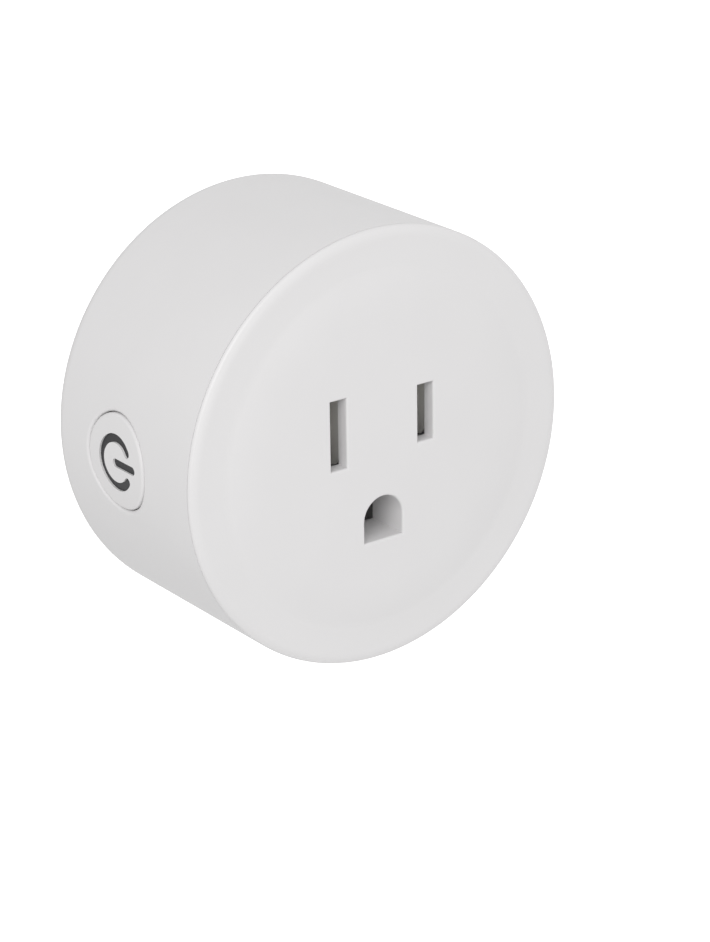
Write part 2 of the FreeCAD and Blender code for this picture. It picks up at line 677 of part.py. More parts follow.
def power_board():
    disc = rod_y(BOARD_R, 0, 0, BOARD_Y, BOARD_BACK_Y)
    through = (BOARD_Y - PAST, BOARD_BACK_Y + PAST)
    cutters = [box((-BOARD_R - PAST, BOARD_FLAT_X), through, (-BOARD_R, BOARD_R)),
               box(around(0, BOARD_GROUND_HOLE[0]), through, BOARD_GROUND_HOLE[1:])]
    places = sum(relay_pin_places().values(), []) + switch_pin_places() + radio_pin_places()
    cutters += square_pins(places, HEADER_PIN / 2 + LEAD_CLEARANCE, *through)
    round_leads = varistor_lead_places() + resistor_lead_places()
    for part in (BULK_CAPACITOR, OUTPUT_CAPACITOR, INDUCTOR):
        round_leads += lead_places(part)
    cutters += [rod_y(LEAD_R + LEAD_CLEARANCE, x, z, *through) for x, z in round_leads]
    cutters += [rod_y(SCREW_R + SCREW_CLEARANCE, x, z, *through) for x, z in BOARD_SCREWS + CARRIER_SCREWS]
    for side in TWIN_SIDES:
        cutters.append(tail_opening(side, TAIL_CLEARANCE, through))
        cutters.append(contact_tail(side * SLOT_X, BOARD_Y - PAST, CONTACT_CLEARANCE))
    return without(disc, cutters)


# ---- relay ----

RELAY_TOP_Y = BOARD_Y - RELAY_HEIGHT
RELAY_FLOOR_Y = BOARD_Y - RELAY_BASE
RELAY_MID_Z = (RELAY_Z[0] + RELAY_Z[1]) / 2
YOKE_FOOT_Y = RELAY_FLOOR_Y - YOKE_THICKNESS
ARMATURE_FACE_Y = CORE_TOP_Y - ARMATURE_GAP
LEAF_Y = ARMATURE_FACE_Y - ARMATURE_THICKNESS


def relay_case():
    wall = RELAY_WALL
    outer = box(RELAY_X, (RELAY_TOP_Y, BOARD_Y), RELAY_Z)
    outer = outer.makeFillet(RELAY_EDGE_R, [e for e in outer.Edges if e.CenterOfMass.y < BOARD_Y - NEAR])
    inner = box((RELAY_X[0] + wall, RELAY_X[1] - wall), (RELAY_TOP_Y + wall, BOARD_Y + PAST),
                (RELAY_Z[0] + wall, RELAY_Z[1] - wall))
    return outer.cut(inner)


def relay_base():
    wall = RELAY_WALL
    plate = box((RELAY_X[0] + wall, RELAY_X[1] - wall), (RELAY_FLOOR_Y, BOARD_Y),
                (RELAY_Z[0] + wall, RELAY_Z[1] - wall))
    places = sum(relay_pin_places().values(), [])
    half = RELAY_PIN / 2 + INSERT_GAP
    return without(plate, square_pins(places, half, RELAY_FLOOR_Y - PAST, BOARD_Y + PAST))


def coil_flanges():
    low = (YOKE_FOOT_Y - COIL_FLANGE_THICKNESS, YOKE_FOOT_Y)
    high_start = CORE_TOP_Y + CORE_HEAD
    high = (high_start, high_start + COIL_FLANGE_THICKNESS)
    return low, high


def relay_bobbin():
    low, high = coil_flanges()
    sides = (around(COIL_X, COIL_FLANGE), around(RELAY_MID_Z, COIL_FLANGE))
    flanges = [box(sides[0], y, sides[1]) for y in (low, high)]
    barrel = rod_y(CORE_R + BARREL_WALL, COIL_X, RELAY_MID_Z, high[0], low[1])
    return joined(flanges + [barrel]).cut(rod_y(CORE_R, COIL_X, RELAY_MID_Z, CORE_TOP_Y, 0))


def relay_coil():
    low, high = coil_flanges()
    winding = rod_y(COIL_WINDING_R, COIL_X, RELAY_MID_Z, high[1], low[0])
    return winding.cut(rod_y(CORE_R + BARREL_WALL, COIL_X, RELAY_MID_Z, high[0], low[1]))


def relay_core():
    head = rod_y(CORE_HEAD_R, COIL_X, RELAY_MID_Z, CORE_TOP_Y, CORE_TOP_Y + CORE_HEAD)
    return joined([head, rod_y(CORE_R, COIL_X, RELAY_MID_Z, CORE_TOP_Y, YOKE_FOOT_Y)])


def relay_yoke():
    """L-shaped iron: a foot under the coil and an upright that the armature rocks on."""
    width = around(RELAY_MID_Z, YOKE_HALF)
    foot = box((YOKE_X, YOKE_FOOT_END_X), (YOKE_FOOT_Y, RELAY_FLOOR_Y), width)
    upright = box((YOKE_X, YOKE_X + YOKE_THICKNESS), (CORE_TOP_Y, RELAY_FLOOR_Y), width)
    pin = square_pins(relay_pin_places()["yoke"], RELAY_PIN / 2, RELAY_FLOOR_Y, LEAD_END_Y)
    return joined([foot, upright] + pin)


def relay_coil_pins():
    pins = square_pins(relay_pin_places()["coil"], RELAY_PIN / 2, RELAY_FLOOR_Y - COIL_PIN_RISE, LEAD_END_Y)
    return Part.makeCompound(pins)


def relay_fixed_contact():
    plate_top = LEAF_Y + CONTACT_BUTTON + CONTACT_REST + CONTACT_BUTTON
    width = around(RELAY_MID_Z, SHELF_HALF_Z)
    end_x = CONTACT_X + SHELF_HALF_X
    shelf = box(around(CONTACT_X, SHELF_HALF_X), (plate_top, plate_top + CONTACT_SHEET), width)
    upright = box((end_x - CONTACT_SHEET, end_x), (plate_top, RELAY_FLOOR_Y), width)
    foot = box((SHELF_FOOT_X, end_x), (RELAY_FLOOR_Y - CONTACT_SHEET, RELAY_FLOOR_Y), width)
    rivet = rod_y(CONTACT_BUTTON_R, CONTACT_X, RELAY_MID_Z, plate_top - CONTACT_BUTTON, plate_top)
    pin = square_pins(relay_pin_places()["fixed"], RELAY_PIN / 2, RELAY_FLOOR_Y, LEAD_END_Y)
    return joined([shelf, upright, foot, rivet] + pin)


def opened(shape):
    """Turns a piece drawn in the pulled-in position back to the released one."""
    shape.rotate(V(HINGE_X, ARMATURE_FACE_Y, RELAY_MID_Z), V(0, 0, 1), -ARMATURE_TILT)
    return shape


def relay_armature():
    return opened(box(ARMATURE_X, (LEAF_Y, ARMATURE_FACE_Y), around(RELAY_MID_Z, YOKE_HALF)))


def relay_moving_contact():
    leaf = box((LEAF_START_X, CONTACT_X + CONTACT_BUTTON_R), (LEAF_Y - LEAF_THICKNESS, LEAF_Y),
               around(RELAY_MID_Z, LEAF_HALF))
    rivet = rod_y(CONTACT_BUTTON_R, CONTACT_X, RELAY_MID_Z, LEAF_Y, LEAF_Y + CONTACT_BUTTON)
    return opened(joined([leaf, rivet]))


# ---- button, its symbol and its switch ----

def symbol_prism():
    x0 = -BODY_R - PAST
    x1 = -BODY_R + PAST
    half = SYMBOL_STROKE / 2
    ring = rod_x(SYMBOL_MEAN_R + half, BUTTON_Y, 0, x0, x1).cut(
        rod_x(SYMBOL_MEAN_R - half, BUTTON_Y, 0, x0, x1))
    reach = 2 * SYMBOL_MEAN_R
    wedge = prism([V(x0, BUTTON_Y, 0),
                   V(x0, BUTTON_Y - reach * math.cos(SYMBOL_OPENING), -reach * math.sin(SYMBOL_OPENING)),
                   V(x0, BUTTON_Y - reach * math.cos(SYMBOL_OPENING), reach * math.sin(SYMBOL_OPENING))],
                  V(x1 - x0, 0, 0))
    end_y = BUTTON_Y - SYMBOL_MEAN_R * math.cos(SYMBOL_OPENING)
    end_z = SYMBOL_MEAN_R * math.sin(SYMBOL_OPENING)
    ends = [rod_x(half, end_y, side * end_z, x0, x1) for side in TWIN_SIDES]
    bar_y = (BUTTON_Y - SYMBOL_BAR_FRONT + half, BUTTON_Y + SYMBOL_BAR_BACK - half)
    bar = [box((x0, x1), bar_y, around(0, half))] + [rod_x(half, y, 0, x0, x1) for y in bar_y]
    return joined([ring.cut(wedge)] + ends), joined(bar)


def drum(radius):
    return rod_y(radius, 0, 0, FRONT_Y, 0)


def power_symbol():
    skin = drum(BODY_R - SYMBOL_SUNK).cut(drum(BODY_R - SYMBOL_DEPTH))
    return Part.makeCompound([piece.common(skin) for piece in symbol_prism()])


def power_button():
    cap = rod_x(BUTTON_R, BUTTON_Y, 0, -BODY_R - PAST, FLANGE_X[0]).common(drum(BODY_R))
    cap = rounded(cap, BUTTON_EDGE_R, lambda p: abs(axis_distance(p) - BODY_R) < NEAR)
    flange = rod_x(FLANGE_R, BUTTON_Y, 0, *FLANGE_X)
    hollow = rod_x(CAP_HOLLOW_R, BUTTON_Y, 0, CAP_HOLLOW_X, FLANGE_X[1] + PAST)
    post = rod_x(BUTTON_POST_R, BUTTON_Y, 0, CAP_HOLLOW_X, PLUNGER_TIP_X - PLUNGER_GAP)
    body = joined([joined([cap, flange]).cut(hollow), post])
    floor = drum(BODY_R - SYMBOL_DEPTH)
    return without(body, [piece.cut(floor) for piece in symbol_prism()])


def switch_board():
    plate = box(SWITCH_BOARD_X, (SWITCH_BOARD_Y, BOARD_Y), around(0, SWITCH_BOARD_HALF_Z))
    half = HEADER_PIN / 2
    return without(plate, square_pins(switch_pin_places(), half, BOARD_Y - SWITCH_PIN_RISE, BOARD_Y + PAST))


def switch_board_pins():
    start = BOARD_Y - SWITCH_PIN_RISE
    return Part.makeCompound(square_pins(switch_pin_places(), HEADER_PIN / 2, start, LEAD_END_Y))


def tact_switch_base():
    body = box((SWITCH_TOP_X, SWITCH_BOARD_X[0]), around(BUTTON_Y, SWITCH_HALF), around(0, SWITCH_HALF))
    return body.cut(rod_x(SWITCH_WELL_R, BUTTON_Y, 0, SWITCH_TOP_X - PAST, SWITCH_WELL_X))


def tact_switch_cover():
    face = (SWITCH_TOP_X - SWITCH_COVER, SWITCH_TOP_X)
    plate = box(face, around(BUTTON_Y, SWITCH_HALF), around(0, SWITCH_HALF))
    sides = []
    for side in TWIN_SIDES:
        thickness = sorted((side * SWITCH_HALF, side * (SWITCH_HALF + SWITCH_COVER)))
        sides.append(box((face[0], SWITCH_COVER_FOOT_X), around(BUTTON_Y, SWITCH_COVER_SIDE), thickness))
    hole = rod_x(PLUNGER_R + PLUNGER_SIDE_GAP, BUTTON_Y, 0, face[0] - PAST, face[1] + PAST)
    return joined([plate] + sides).cut(hole)


def tact_plunger():
    stem = rod_x(PLUNGER_R, BUTTON_Y, 0, PLUNGER_TIP_X, PLUNGER_FOOT_X)
    tip = [e for e in stem.Edges if e.CenterOfMass.x < PLUNGER_TIP_X + NEAR]
    return stem.makeFillet(PLUNGER_EDGE_R, tip)


def status_led():
    height, length, width = LED_SIZE
    face = SWITCH_BOARD_X[0]
    return box((face - height, face), around(LED_Y, length / 2), around(0, width / 2))


# ---- supply parts ----

def capacitor(part):
    """Radial electrolytic capacitor with a crimp groove near its rubber end and two leads."""
    x, z, radius, height = part
    seat = BOARD_Y
    can = rod_y(radius, x, z, seat - height, seat)
    can = can.makeFillet(CAN_EDGE_R, [e for e in can.Edges if e.CenterOfMass.y < seat - height + NEAR])
    outset, crimp_r, rise = CRIMP
    crimp = Part.makeTorus(radius + outset, crimp_r, V(x, seat - rise, z), V(0, 1, 0))
    leads = [rod_y(LEAD_R, a, b, seat, LEAD_END_Y) for a, b in lead_places(part)]
    return joined([can.cut(crimp)] + leads)


def inductor_core():
    x, z, radius, height = INDUCTOR
    seat = BOARD_Y
    ends = [rod_y(radius, x, z, seat - height, seat - height + BOBBIN_END),
            rod_y(radius, x, z, seat - BOBBIN_END, seat)]
    leads = [rod_y(LEAD_R, a, b, seat, LEAD_END_Y) for a, b in lead_places(INDUCTOR)]
    return joined(ends + [rod_y(radius - BOBBIN_NECK, x, z, seat - height, seat)] + leads)


def inductor_winding():
    x, z, radius, height = INDUCTOR
    winding = rod_y(radius - WINDING_SINK, x, z, BOARD_Y - height + BOBBIN_END, BOARD_Y - BOBBIN_END)
    return winding.cut(rod_y(radius - BOBBIN_NECK, x, z, BOARD_Y - height, BOARD_Y))


def varistor():
    z0, z1 = VARISTOR_Z
    disc = rod_z(VARISTOR_R, VARISTOR_X, VARISTOR_Y, z0, z1)
    disc = disc.makeFillet(VARISTOR_EDGE_R, [e for e in disc.Edges if e.Length > math.pi * VARISTOR_R])
    leads = [rod_y(LEAD_R, x, z, VARISTOR_Y, LEAD_END_Y) for x, z in varistor_lead_places()]
    return joined([disc] + leads)


def bent_lead(x_body, x_leg):
    """Round wire that runs along X from a part's end, then turns through an arc towards the board."""
    bend = 3 * LEAD_R
    toward = math.copysign(bend, x_body - x_leg)
    corner = V(x_leg + toward, RESISTOR_Y, RESISTOR_Z)
    diagonal = math.sqrt(0.5)
    middle = V(x_leg + toward * (1 - diagonal), RESISTOR_Y + bend * (1 - diagonal), RESISTOR_Z)
    leg_top = V(x_leg, RESISTOR_Y + bend, RESISTOR_Z)
    path = Part.Wire([line(V(x_body, RESISTOR_Y, RESISTOR_Z), corner), arc(corner, middle, leg_top),
                      line(leg_top, V(x_leg, LEAD_END_Y, RESISTOR_Z))])
    section = Part.Wire(Part.makeCircle(LEAD_R, V(x_body, RESISTOR_Y, RESISTOR_Z), V(1, 0, 0)))
    return path.makePipeShell([section], True, True)


def fusible_resistor():
    body = rod_x(RESISTOR_R, RESISTOR_Y, RESISTOR_Z, *RESISTOR_X)
    rims = [e for e in body.Edges if e.Closed]
    body = body.makeFillet(RESISTOR_EDGE_R, rims)
    (left, _), (right, _) = resistor_lead_places()
    return joined([body, bent_lead(RESISTOR_X[0] + RESISTOR_LEAD_SINK, left),
                   bent_lead(RESISTOR_X[1] - RESISTOR_LEAD_SINK, right)])


def chip(part):
    """Moulded chip lying on the board, with flat legs along its two long sides."""
    x0, x1, z0, z1, height = part
    reach = CHIP_LEG_REACH
    body = box((x0, x1), (BOARD_Y - height, BOARD_Y - CHIP_STANDOFF), (z0 + reach, z1 - reach))
    pitch = (x1 - x0) / CHIP_LEGS
    leg_y = (BOARD_Y - CHIP_LEG, BOARD_Y)
    legs = []
    for i in range(CHIP_LEGS):
        leg_x = around(x0 + (i + 0.5) * pitch, CHIP_LEG_HALF)
        legs.append(box(leg_x, leg_y, (z0, z0 + reach + CHIP_LEG_SINK)))
        legs.append(box(leg_x, leg_y, (z1 - reach - CHIP_LEG_SINK, z1)))
    return joined([body] + legs)


# ---- radio module ----

def radio_board():
    plate = box((-RADIO_X, RADIO_X), (RADIO_Y, BOARD_Y), RADIO_Z)
    half = HEADER_PIN / 2
    depth = (BOARD_Y - RADIO_PIN_RISE, BOARD_Y + PAST)
    return without(plate, [box(around(x, half), depth, RADIO_Z) for x, z in radio_pin_places()])


def radio_pins():
    start = BOARD_Y - RADIO_PIN_RISE
    return Part.makeCompound(square_pins(radio_pin_places(), HEADER_PIN / 2, start, LEAD_END_Y))


def radio_shield():
    face = RADIO_Z[0]
    can = box((-SHIELD_X, SHIELD_X), SHIELD_Y, (face - SHIELD_DEPTH, face))
    can = can.makeFillet(SHIELD_EDGE_R, [e for e in can.Edges if e.CenterOfMass.z < face - NEAR])
    wall = SHIELD_WALL
    return can.cut(box((-SHIELD_X + wall, SHIELD_X - wall), (SHIELD_Y[0] + wall, SHIELD_Y[1] - wall),
                       (face - SHIELD_DEPTH + wall, face + PAST)))


def radio_chip():
    middle = (SHIELD_Y[0] + SHIELD_Y[1]) / 2
    face = RADIO_Z[0]
    return box(around(0, RADIO_CHIP_HALF), around(middle, RADIO_CHIP_HALF), (face - RADIO_CHIP, face))


def nodes():
    return {
        "front_cover": front_cover(),
        "housing": housing(),
        "line_blade": blade(1),
        "neutral_blade": blade(-1),
        "ground_pin": ground_pin(),
        "blade_retainer": blade_retainer(),
        "retainer_screws": screws(RETAINER_SCREWS, RETAINER_Y, RETAINER_SCREW_END_Y),
        "line_contact": blade_contact(1),
        "neutral_contact": blade_contact(-1),
        "ground_contact": ground_contact(),
        "ground_strap": ground_strap(),
        "neutral_busbar": neutral_busbar(),
        "contact_carrier": contact_carrier(),
        "carrier_screws": screws(CARRIER_SCREWS, BOARD_Y - CARRIER_LUG, BOARD_SCREW_END_Y),
        "power_board": power_board(),
        "board_screws": screws(BOARD_SCREWS, BOARD_Y, BOARD_SCREW_END_Y),
        "relay_case": relay_case(),
        "relay_base": relay_base(),
        "relay_bobbin": relay_bobbin(),
        "relay_coil": relay_coil(),
        "relay_core": relay_core(),
        "relay_yoke": relay_yoke(),
        "relay_coil_pins": relay_coil_pins(),
        "relay_fixed_contact": relay_fixed_contact(),
        "relay_armature": relay_armature(),
        "relay_moving_contact": relay_moving_contact(),
        "power_button": power_button(),
        "power_symbol": power_symbol(),
        "switch_board": switch_board(),
        "switch_board_pins": switch_board_pins(),
        "tact_switch_base": tact_switch_base(),
        "tact_switch_cover": tact_switch_cover(),
        "tact_plunger": tact_plunger(),
        "status_led": status_led(),
        "bulk_capacitor": capacitor(BULK_CAPACITOR),
        "output_capacitor": capacitor(OUTPUT_CAPACITOR),
        "inductor_core": inductor_core(),
        "inductor_winding": inductor_winding(),
        "varistor": varistor(),
        "fusible_resistor": fusible_resistor(),
        "bridge_rectifier": chip(RECTIFIER),
        "regulator_chip": chip(REGULATOR),
        "radio_board": radio_board(),
        "radio_pins": radio_pins(),
        "radio_shield": radio_shield(),
        "radio_chip": radio_chip(),
    }


os.makedirs("parts", exist_ok=True)
for name, shape in nodes().items():
    if not shape.isValid() or not shape.Solids:
        raise ValueError(name + " is not a valid solid")
    shape.exportStep("parts/" + name + ".step")
    print(name, len(shape.Solids), round(shape.Volume, 2))
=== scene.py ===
"""Looks of the smart plug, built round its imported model. Metres, in the model's own frame:
+Y into the wall, +Z up, and the origin at the centre of the rear face."""
import bmesh
import bpy
import json
import math
from mathutils import Matrix, Vector


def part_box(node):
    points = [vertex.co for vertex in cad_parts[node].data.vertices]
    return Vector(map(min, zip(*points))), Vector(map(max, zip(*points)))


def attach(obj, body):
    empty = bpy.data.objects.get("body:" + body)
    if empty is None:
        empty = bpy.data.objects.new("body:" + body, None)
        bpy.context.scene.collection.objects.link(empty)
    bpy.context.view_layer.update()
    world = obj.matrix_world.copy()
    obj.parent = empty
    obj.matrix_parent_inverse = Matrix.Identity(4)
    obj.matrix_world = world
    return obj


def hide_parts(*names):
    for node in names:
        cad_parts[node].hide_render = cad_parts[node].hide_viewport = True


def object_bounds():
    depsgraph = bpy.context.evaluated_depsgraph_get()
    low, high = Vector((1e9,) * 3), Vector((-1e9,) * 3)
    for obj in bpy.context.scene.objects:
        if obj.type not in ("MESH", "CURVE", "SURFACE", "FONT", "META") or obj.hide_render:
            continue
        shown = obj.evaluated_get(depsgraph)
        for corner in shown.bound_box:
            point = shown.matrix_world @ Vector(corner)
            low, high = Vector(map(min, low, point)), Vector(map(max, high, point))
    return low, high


MM = 0.001
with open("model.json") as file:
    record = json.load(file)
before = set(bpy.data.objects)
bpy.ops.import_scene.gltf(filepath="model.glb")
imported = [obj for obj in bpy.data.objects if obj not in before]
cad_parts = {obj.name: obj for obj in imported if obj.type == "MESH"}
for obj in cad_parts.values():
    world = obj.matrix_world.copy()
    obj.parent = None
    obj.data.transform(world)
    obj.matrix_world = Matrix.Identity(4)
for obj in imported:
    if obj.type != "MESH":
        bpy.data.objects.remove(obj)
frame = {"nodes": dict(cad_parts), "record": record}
nodes = frame["nodes"]
cad_low, cad_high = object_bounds()

FRONT_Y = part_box("front_cover")[0].y
BOARD_BACK_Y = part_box("power_board")[1].y

# ---- sizes of the visual pieces ----

COIL_SECTORS = 48
COIL_ROWS_PER_TURN = 6
RELAY_WIRE = 0.26 * MM
RELAY_BORE = 1.92 * MM
INDUCTOR_WIRE = 0.42 * MM
INDUCTOR_BORE = 1.42 * MM

SOLDERED_NODES = ("relay_yoke", "relay_coil_pins", "relay_fixed_contact", "switch_board_pins", "radio_pins",
                  "bulk_capacitor", "output_capacitor", "inductor_core", "varistor", "fusible_resistor",
                  "line_contact", "neutral_contact")
LEAD_PROBE = 0.2 * MM
LEAD_SPACING = 1.3 * MM
SOLDER_SECTORS = 20
SOLDER_PROFILE = tuple((reach * MM, rise * MM) for reach, rise in (
    (0.80, 0.0), (0.78, 0.06), (0.62, 0.16), (0.50, 0.32), (0.43, 0.52), (0.38, 0.75), (0.30, 0.95)))

TRACK_LIFT = 0.035 * MM
LOAD_TRACK = 3.0 * MM
SIGNAL_TRACK = 0.4 * MM
TRACK_SPREAD = 1.25
TRACK_ELBOW = 2 * MM
SIGNAL_STEP = 1 * MM
MITRE_LIMIT = 0.5

SMALL_PART_Z = -19.2 * MM
SMALL_PART_LENGTH = 1.6 * MM
SMALL_PART_WIDTH = 0.8 * MM
SMALL_PART_HEIGHT = 0.5 * MM
SMALL_PART_END = 0.32 * MM
SMALL_PART_STEP = 0.04 * MM
SMALL_PART_BEVEL = 0.04 * MM

ANTENNA_MARGIN = 0.8 * MM
ANTENNA_DEPTH = 2.4 * MM
ANTENNA_PITCH = 1.6 * MM
ANTENNA_WIDTH = 0.35 * MM

VENT_GAP = 0.12 * MM
VENT_REACH = 0.86
VENT_STEPS = 16
VENT_LIFT = 0.05 * MM


def direction(azimuth, elevation):
    """Unit vector from the drum at these angles, in radians: from -Y round towards +X, then up."""
    return Vector((math.sin(azimuth) * math.cos(elevation), -math.cos(azimuth) * math.cos(elevation),
                   math.sin(elevation)))


# ---- camera, at the photograph's angle ----

CAMERA_AZIMUTH = math.radians(-36.389)
CAMERA_ELEVATION = math.radians(21.627)
CAMERA_ROLL = math.radians(-0.838)
CAMERA_DISTANCE = 350.08 * MM
CAMERA_AIM = (-4.17 * MM, -1.68 * MM)
CAMERA_LENS_MM = 114.73
CAMERA_CLIP = (0.01, 10.0)


def add_camera():
    """Looks at a point of the front plane that lies CAMERA_AIM from the drum's axis."""
    back = direction(CAMERA_AZIMUTH, CAMERA_ELEVATION)
    level = Vector((math.cos(CAMERA_AZIMUTH), math.sin(CAMERA_AZIMUTH), 0))
    rise = back.cross(level)
    right = level * math.cos(CAMERA_ROLL) + rise * math.sin(CAMERA_ROLL)
    axes = Matrix((right, back.cross(right), back)).transposed()
    data = bpy.data.cameras.new("camera")
    data.lens = CAMERA_LENS_MM
    data.clip_start, data.clip_end = CAMERA_CLIP
    camera = bpy.data.objects.new("camera", data)
    aim = Vector((CAMERA_AIM[0], FRONT_Y, CAMERA_AIM[1]))
    camera.matrix_world = Matrix.Translation(aim + back * CAMERA_DISTANCE) @ axes.to_4x4()
    bpy.context.scene.collection.objects.link(camera)
    bpy.context.scene.camera = camera


add_camera()


# ---- material building ----

NOISE_SPAN = (0.3, 0.7)
FINE_DETAIL = 3.0
COAT_ROUGHNESS = 0.12


def new_material(name):
    """Node material with only a Principled shader: the material, its tree and the shader."""
    material = bpy.data.materials.new(name)
    material.use_nodes = True
    tree = material.node_tree
    tree.nodes.clear()
    output = tree.nodes.new("ShaderNodeOutputMaterial")
    shader = tree.nodes.new("ShaderNodeBsdfPrincipled")
    tree.links.new(shader.outputs["BSDF"], output.inputs["Surface"])
    return material, tree, shader


def object_coordinates(tree, stretch):
    """Places on the object in metres, scaled along X, Y and Z."""
    coordinates = tree.nodes.new("ShaderNodeTexCoord")
    mapping = tree.nodes.new("ShaderNodeMapping")
    mapping.inputs["Scale"].default_value = stretch
    tree.links.new(coordinates.outputs["Object"], mapping.inputs["Vector"])
    return mapping.outputs["Vector"]


def noise(tree, vector, size, detail=2.0):
    """Noise whose features are about size metres across, from 0 to 1."""
    node = tree.nodes.new("ShaderNodeTexNoise")
    node.inputs["Scale"].default_value = 1 / size
    node.inputs["Detail"].default_value = detail
    tree.links.new(vector, node.inputs["Vector"])
    return node.outputs["Fac"]


def between(tree, factor, low, high):
    """Spreads the span that most noise values fall in over low to high."""
    node = tree.nodes.new("ShaderNodeMapRange")
    node.inputs["From Min"].default_value, node.inputs["From Max"].default_value = NOISE_SPAN
    node.inputs["To Min"].default_value = low
    node.inputs["To Max"].default_value = high
    tree.links.new(factor, node.inputs["Value"])
    return node.outputs["Result"]


def tinted(tree, factor, colour, change):
    """Mixes a slightly darker and a slightly lighter tone of the colour."""
    node = tree.nodes.new("ShaderNodeMix")
    node.data_type = "RGBA"
    node.inputs["A"].default_value = [c * (1 - change) for c in colour] + [1]
    node.inputs["B"].default_value = [min(1, c * (1 + change)) for c in colour] + [1]
    tree.links.new(factor, node.inputs["Factor"])
    return node.outputs["Result"]


def finish(name, colour, roughness, metallic=0.0, change=0.03, patch=8 * MM, grain=0.25 * MM,
           height=2e-6, stretch=(1, 1, 1), spread=0.05, coat=0.0, glow=0.0):
    """A moulded, plated, coated or brushed surface: broad tone patches, a fine grain in the bump
    and roughness that wanders by spread. Stretch draws the grain out along one axis."""
    material, tree, shader = new_material(name)
    even = object_coordinates(tree, (1, 1, 1))
    drawn = object_coordinates(tree, stretch)
    broad = noise(tree, even, patch)
    fine = noise(tree, drawn, grain, FINE_DETAIL)
    tree.links.new(tinted(tree, between(tree, broad, 0, 1), colour, change), shader.inputs["Base Color"])
    tree.links.new(between(tree, fine, roughness - spread, roughness + spread), shader.inputs["Roughness"])
    bump = tree.nodes.new("ShaderNodeBump")
    bump.inputs["Strength"].default_value = 1.0
    bump.inputs["Distance"].default_value = height
    tree.links.new(fine, bump.inputs["Height"])
    tree.links.new(bump.outputs["Normal"], shader.inputs["Normal"])
    shader.inputs["Metallic"].default_value = metallic
    shader.inputs["Coat Weight"].default_value = coat
    shader.inputs["Coat Roughness"].default_value = COAT_ROUGHNESS
    if glow:
        shader.inputs["Emission Color"].default_value = list(colour) + [1]
        shader.inputs["Emission Strength"].default_value = glow
    return material


SHELL_WHITE = (0.6985, 0.690, 0.6925)
finishes = {
    "shell_white": finish("shell_white", SHELL_WHITE, 0.42, change=0.006, height=3e-6),
    "button_white": finish("button_white", SHELL_WHITE, 0.42, change=0.006, height=3e-6),
    "symbol_grey": finish("symbol_grey", (0.022, 0.022, 0.024), 0.45, change=0.05),
    "nickel_plate": finish("nickel_plate", (0.78, 0.76, 0.72), 0.22, metallic=1, stretch=(1, 0.05, 1)),
    "contact_metal": finish("contact_metal", (0.80, 0.79, 0.76), 0.42, metallic=0.7, stretch=(1, 0.1, 1)),
    "bare_copper": finish("bare_copper", (0.80, 0.50, 0.34), 0.3, metallic=1, stretch=(1, 0.1, 1)),
    "carrier_grey": finish("carrier_grey", (0.34, 0.34, 0.34), 0.5, change=0.05, height=6e-6),
    "retainer_ivory": finish("retainer_ivory", (0.72, 0.69, 0.60), 0.45, change=0.03, height=6e-6),
    "screw_steel": finish("screw_steel", (0.60, 0.60, 0.61), 0.3, metallic=1),
    "board_green": finish("board_green", (0.03, 0.17, 0.08), 0.35, change=0.2, patch=2 * MM, coat=0.4),
    "radio_board_black": finish("radio_board_black", (0.015, 0.03, 0.07), 0.35, change=0.2, coat=0.4),
    "pin_gold": finish("pin_gold", (0.83, 0.66, 0.30), 0.25, metallic=1),
    "relay_black": finish("relay_black", (0.03, 0.03, 0.035), 0.3, change=0.1),
    "bobbin_white": finish("bobbin_white", (0.75, 0.73, 0.66), 0.45),
    "enamel_copper": finish("enamel_copper", (0.50, 0.18, 0.07), 0.25, metallic=0.7, coat=0.5),
    "soft_iron": finish("soft_iron", (0.55, 0.55, 0.54), 0.4, metallic=1),
    "silver_contact": finish("silver_contact", (0.80, 0.79, 0.76), 0.25, metallic=1),
    "switch_black": finish("switch_black", (0.03, 0.03, 0.03), 0.45),
    "switch_steel": finish("switch_steel", (0.66, 0.66, 0.66), 0.28, metallic=1, stretch=(1, 0.1, 1)),
    "plunger_grey": finish("plunger_grey", (0.10, 0.10, 0.10), 0.5),
    "led_lens": finish("led_lens", (0.85, 0.86, 0.80), 0.15, coat=0.5),
    "capacitor_sleeve": finish("capacitor_sleeve", (0.04, 0.06, 0.18), 0.3, coat=0.3),
    "ferrite": finish("ferrite", (0.06, 0.06, 0.065), 0.6, change=0.2, height=8e-6),
    "varistor_blue": finish("varistor_blue", (0.04, 0.13, 0.42), 0.25, change=0.1, coat=0.6),
    "resistor_coat": finish("resistor_coat", (0.20, 0.32, 0.22), 0.5, change=0.1),
    "chip_black": finish("chip_black", (0.03, 0.03, 0.03), 0.55, change=0.15, height=5e-6),
    "shield_tin": finish("shield_tin", (0.70, 0.70, 0.69), 0.28, metallic=1, stretch=(1, 0.1, 1)),
}

for part in frame["record"]["subparts"]:
    for holder in nodes[part["node"]].material_slots:
        holder.material = finishes[part["material_slot"]]


# ---- detail pieces that stand for, or sit on, CAD nodes ----

def casing_piece(name, mesh, slot):
    """Object that shows the mesh in the slot's finish and rides on the casing."""
    mesh.materials.append(finishes[slot])
    piece = bpy.data.objects.new(name, mesh)
    bpy.context.scene.collection.objects.link(piece)
    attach(piece, "casing")
    return piece


def closed_piece(name, points, faces, slot, smooth=True):
    """Casing piece made of points and faces, with its faces turned outwards."""
    mesh = bpy.data.meshes.new(name)
    mesh.from_pydata(points, [], faces)
    shape = bmesh.new()
    shape.from_mesh(mesh)
    bmesh.ops.recalc_face_normals(shape, faces=shape.faces)
    for face in shape.faces:
        face.smooth = smooth
    shape.to_mesh(mesh)
    shape.free()
    return casing_piece(name, mesh, slot)


def ring_faces(first, second, count):
    """Quads between two rings of count points each."""
    return [(first + i, first + (i + 1) % count, second + (i + 1) % count, second + i)
            for i in range(count)]


